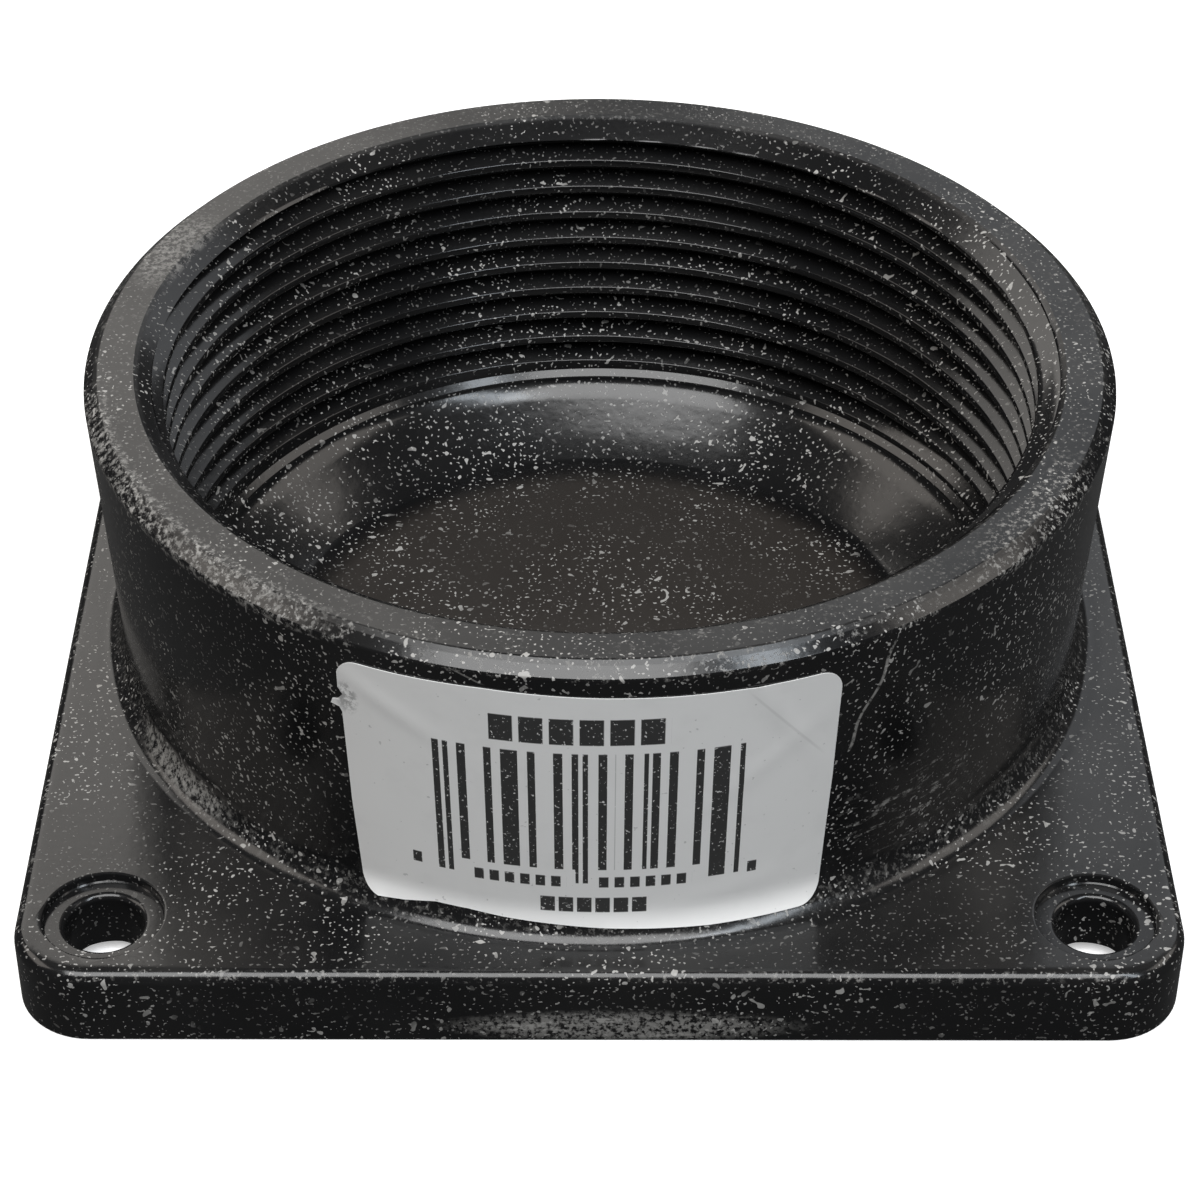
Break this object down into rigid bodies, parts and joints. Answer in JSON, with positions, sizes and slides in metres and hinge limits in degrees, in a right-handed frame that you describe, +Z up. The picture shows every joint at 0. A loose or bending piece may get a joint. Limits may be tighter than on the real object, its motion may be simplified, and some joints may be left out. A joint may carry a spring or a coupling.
{
  "type": "threaded hub adapter",
  "caption": "Square-flanged moulded plastic hub with a large female pipe thread, a closed floor, corner bolt holes and a paper label.",
  "frame": {"origin": "middle of the flange's underside, on the hub's axis", "axes": "+Z up the hub's axis towards its open mouth, -Y towards the label, +X to the right as seen from the label"},
  "size_m": [0.106, 0.106, 0.04],
  "materials": {
    "moulded_plastic": "glossy black, with light scuffs and specks",
    "label_paper": "white coated paper, satin, with plain black printed bars and blocks"
  },
  "bodies": {
    "root": {"adapter_body": "moulded_plastic", "label": "label_paper"}
  },
  "joints": []
}
